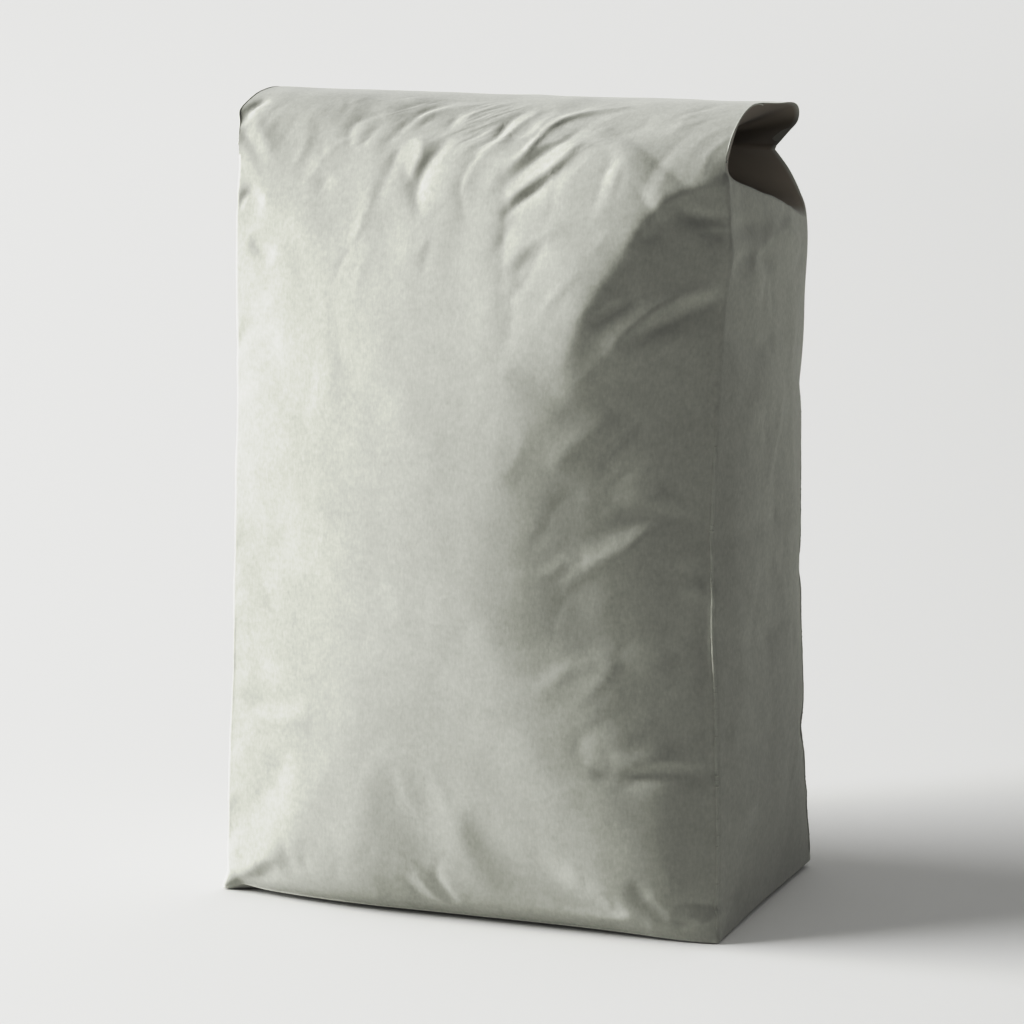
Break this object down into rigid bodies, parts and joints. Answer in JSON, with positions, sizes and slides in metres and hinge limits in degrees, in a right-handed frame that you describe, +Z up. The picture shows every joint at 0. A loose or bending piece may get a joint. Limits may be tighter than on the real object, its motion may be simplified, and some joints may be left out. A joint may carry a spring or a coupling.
{
  "type": "filled paper sack of tile grout",
  "caption": "Upright side-gusseted paper sack filled with dry tile grout, on a flat block bottom, its flattened top folded over to the back.",
  "frame": {"origin": "under the middle of the whole sack, on the ground", "axes": "+Z up, along the longest extent; the wide front faces -Y and the top is folded over towards +Y; +X to the right seen from the front"},
  "size_m": [0.2162, 0.1476, 0.3347],
  "materials": {
    "sack_paper": "matte greenish grey, unprinted",
    "grout_powder": "dry powder"
  },
  "bodies": {
    "root": {"paper_sack": "sack_paper", "grout_fill": "grout_powder"}
  },
  "joints": []
}
